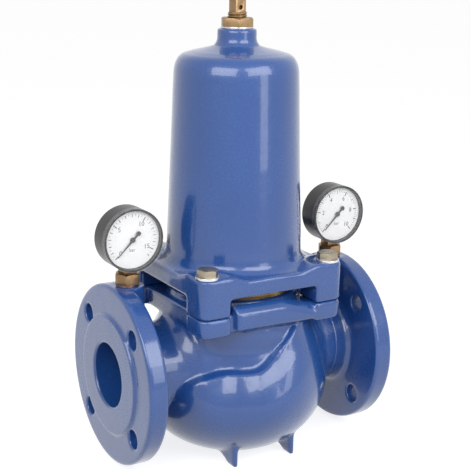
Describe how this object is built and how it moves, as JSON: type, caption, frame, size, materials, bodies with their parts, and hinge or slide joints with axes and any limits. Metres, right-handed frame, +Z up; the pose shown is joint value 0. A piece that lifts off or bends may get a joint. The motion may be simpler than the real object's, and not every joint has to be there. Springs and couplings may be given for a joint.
{
  "type": "pressure reducing valve",
  "caption": "Flanged spring-loaded pressure reducing valve with a tall bonnet, an adjusting spindle on top and a pressure gauge on each side.",
  "frame": {"origin": "centre of the feet's underside, on the spindle axis", "axes": "+X along the pipe in the flow direction, -Y the side the dials face, +Z up along the spindle"},
  "size_m": [0.3084, 0.202, 0.473],
  "materials": {
    "blue_coat": "gloss epoxy coat over cast iron",
    "brass": "machined",
    "copper": "drawn",
    "bright_steel": "bright zinc",
    "zinc_steel": "yellow zinc",
    "stainless": "turned",
    "spring_steel": "shot peened",
    "rubber": "matt",
    "black_plastic": "satin",
    "clear_plastic": "clear",
    "dial_white": "matt",
    "black_paint": "matt"
  },
  "bodies": {
    "valve_body": {"body_casting": "blue_coat", "bonnet_casting": "blue_coat", "balance_insert": "brass", "insert_o_ring": "rubber", "seat_ring": "stainless", "diaphragm": "rubber", "corner_bolts": "zinc_steel", "corner_washers": "bright_steel", "set_spring": "spring_steel", "spindle_washer": "bright_steel", "inlet_port_seal": "copper", "inlet_gauge_adapter": "brass", "inlet_gauge_socket": "brass", "inlet_gauge_case": "black_plastic", "inlet_gauge_window": "clear_plastic", "inlet_gauge_dial": "dial_white", "inlet_movement_plates": "brass", "inlet_bourdon_tube": "copper", "outlet_port_seal": "copper", "outlet_gauge_adapter": "brass", "outlet_gauge_socket": "brass", "outlet_gauge_case": "black_plastic", "outlet_gauge_window": "clear_plastic", "outlet_gauge_dial": "dial_white", "outlet_movement_plates": "brass", "outlet_bourdon_tube": "copper"},
    "valve_stem_assembly": {"valve_stem": "stainless", "balance_piston": "brass", "piston_lip_seal": "rubber", "distance_sleeve": "stainless", "disc_holder": "stainless", "disc_seal": "rubber", "disc_nut": "stainless", "diaphragm_plate": "stainless", "lower_spring_plate": "zinc_steel", "stem_nut": "stainless"},
    "spring_plate": {"upper_spring_plate": "zinc_steel", "thrust_ball": "bright_steel"},
    "spindle": {"adjusting_spindle": "zinc_steel"},
    "lock_nut": {"lock_nut": "zinc_steel"},
    "inlet_pointer": {"inlet_gauge_pointer": "black_paint"},
    "inlet_sector": {"inlet_sector_gear": "brass"},
    "inlet_link": {"inlet_pull_link": "brass"},
    "outlet_pointer": {"outlet_gauge_pointer": "black_paint"},
    "outlet_sector": {"outlet_sector_gear": "brass"},
    "outlet_link": {"outlet_pull_link": "brass"}
  },
  "joints": [
    {"name": "stem_slide", "type": "slide", "parent": "valve_body", "child": "valve_stem_assembly", "axis": [0, 0, 1], "range_m": [0, 0.012], "stiffness_N_per_m": 2000, "springref_m": -0.01, "deforming": ["set_spring", "diaphragm"]},
    {"name": "spring_plate_slide", "type": "slide", "parent": "valve_body", "child": "spring_plate", "axis": [0, 0, 1], "range_m": [-0.005, 0.01], "deforming": ["set_spring"]},
    {"name": "spindle_turn", "type": "hinge", "parent": "spring_plate", "child": "spindle", "pos_m": [0, 0, 0.438], "axis": [0, 0, 1], "range_deg": [-720, 1440]},
    {"name": "lock_nut_turn", "type": "hinge", "parent": "valve_body", "child": "lock_nut", "pos_m": [0, 0, 0.444], "axis": [0, 0, 1], "range_deg": [0, 360]},
    {"name": "inlet_pointer_turn", "type": "hinge", "parent": "valve_body", "child": "inlet_pointer", "pos_m": [-0.1218, -0.004, 0.2375], "axis": [0, 1, 0], "range_deg": [0, 270], "stiffness_Nm_per_rad": 0.001},
    {"name": "inlet_sector_turn", "type": "hinge", "parent": "valve_body", "child": "inlet_sector", "pos_m": [-0.1218, -0.004, 0.2251], "axis": [0, 1, 0], "range_deg": [-35, 0]},
    {"name": "inlet_link_turn", "type": "hinge", "parent": "inlet_sector", "child": "inlet_link", "pos_m": [-0.12603, -0.004, 0.22356], "axis": [0, 1, 0], "range_deg": [0, 35]},
    {"name": "outlet_pointer_turn", "type": "hinge", "parent": "valve_body", "child": "outlet_pointer", "pos_m": [0.1218, -0.004, 0.2375], "axis": [0, 1, 0], "range_deg": [0, 270], "stiffness_Nm_per_rad": 0.001},
    {"name": "outlet_sector_turn", "type": "hinge", "parent": "valve_body", "child": "outlet_sector", "pos_m": [0.1218, -0.004, 0.2251], "axis": [0, 1, 0], "range_deg": [-35, 0]},
    {"name": "outlet_link_turn", "type": "hinge", "parent": "outlet_sector", "child": "outlet_link", "pos_m": [0.11757, -0.004, 0.22356], "axis": [0, 1, 0], "range_deg": [0, 35]}
  ],
  "couplings": [
    {"joint": "spindle_turn", "follows": "spring_plate_slide", "rad_per_m": 2513.3},
    {"joint": "inlet_sector_turn", "follows": "inlet_pointer_turn", "ratio": -0.12727},
    {"joint": "inlet_link_turn", "follows": "inlet_pointer_turn", "ratio": 0.12727},
    {"joint": "outlet_sector_turn", "follows": "outlet_pointer_turn", "ratio": -0.12727},
    {"joint": "outlet_link_turn", "follows": "outlet_pointer_turn", "ratio": 0.12727}
  ]
}
